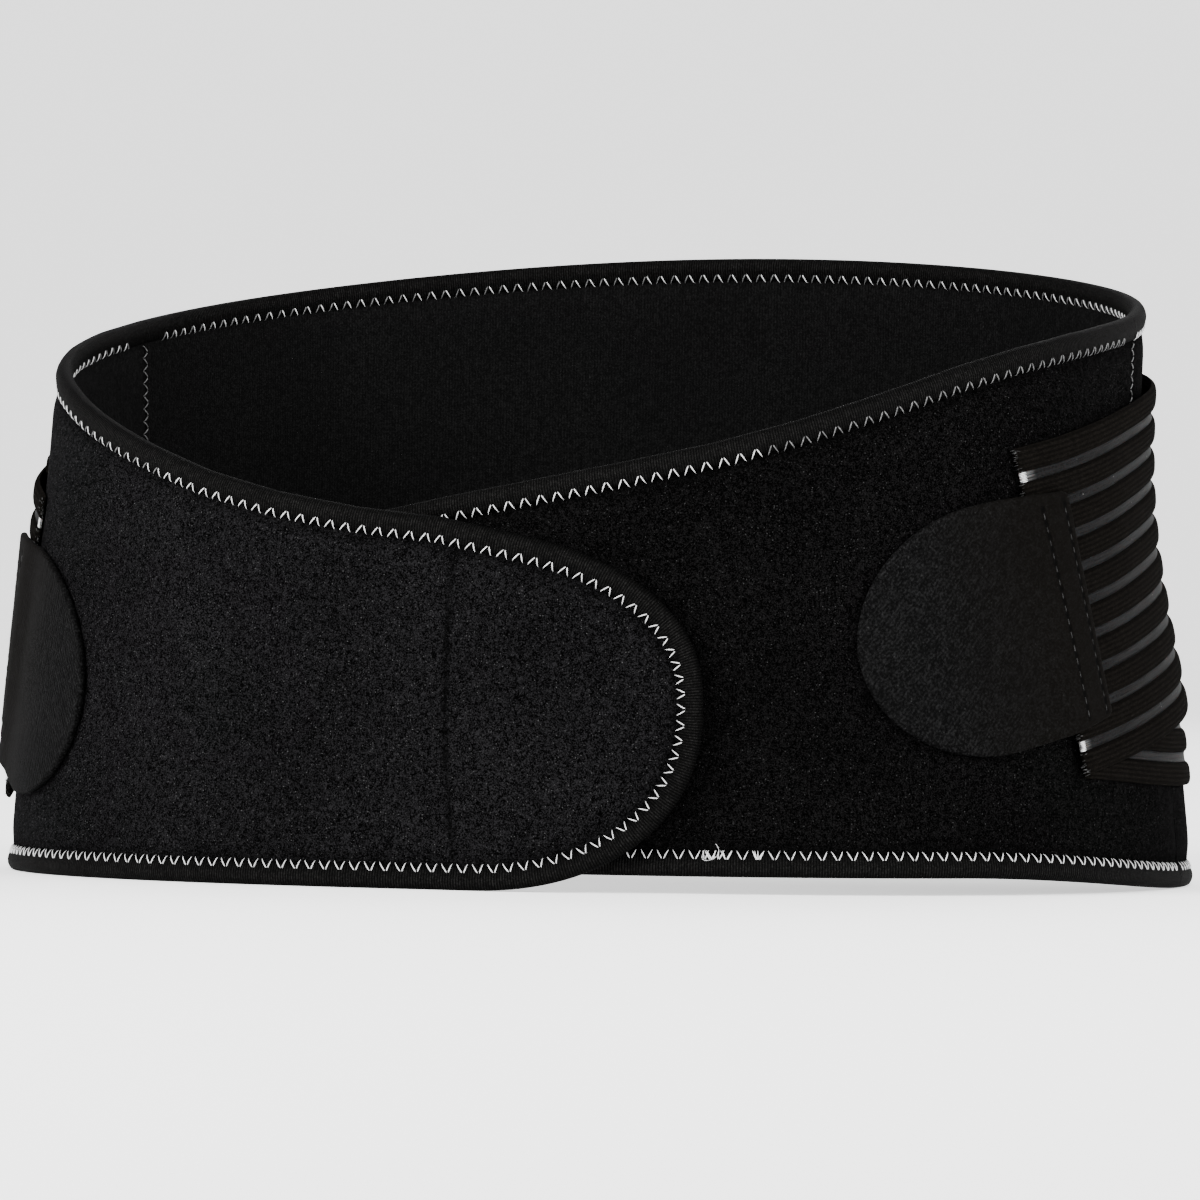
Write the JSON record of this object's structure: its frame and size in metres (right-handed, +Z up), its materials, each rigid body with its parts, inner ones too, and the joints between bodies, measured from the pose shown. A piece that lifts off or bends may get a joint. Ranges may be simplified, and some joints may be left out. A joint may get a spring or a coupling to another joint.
{
  "type": "lumbar support belt",
  "caption": "Closed wrap-around back support belt with plush overlapping front panels, bound edges, ribbed elastic side straps and rounded pull tabs, standing open like a ring.",
  "frame": {"origin": "centre of the belt's outline in plan, on the surface that its bottom edge stands on", "axes": "+Z up along the body, -Y to the wearer's front, +X to the wearer's left"},
  "size_m": [0.3823, 0.2901, 0.2039],
  "materials": {
    "plush_fabric": "brushed black loop plush",
    "binding_tape": "ribbed black fold-over tape",
    "ribbed_elastic": "woven black ribs joined by a clear film",
    "tab_cloth": "smooth dark grey cloth",
    "hook_plastic": "moulded hook tape"
  },
  "bodies": {
    "root": {"front_panel_right": "plush_fabric", "front_panel_left": "plush_fabric", "back_panel": "plush_fabric", "front_binding_right": "binding_tape", "front_binding_left": "binding_tape", "back_binding_bottom": "binding_tape", "back_binding_top": "binding_tape", "pull_strap_right": "ribbed_elastic", "pull_strap_left": "ribbed_elastic", "back_band": "ribbed_elastic", "pull_tab_right": "tab_cloth", "pull_tab_left": "tab_cloth", "centre_back_tape": "binding_tape", "hook_patch": "hook_plastic"}
  },
  "joints": []
}
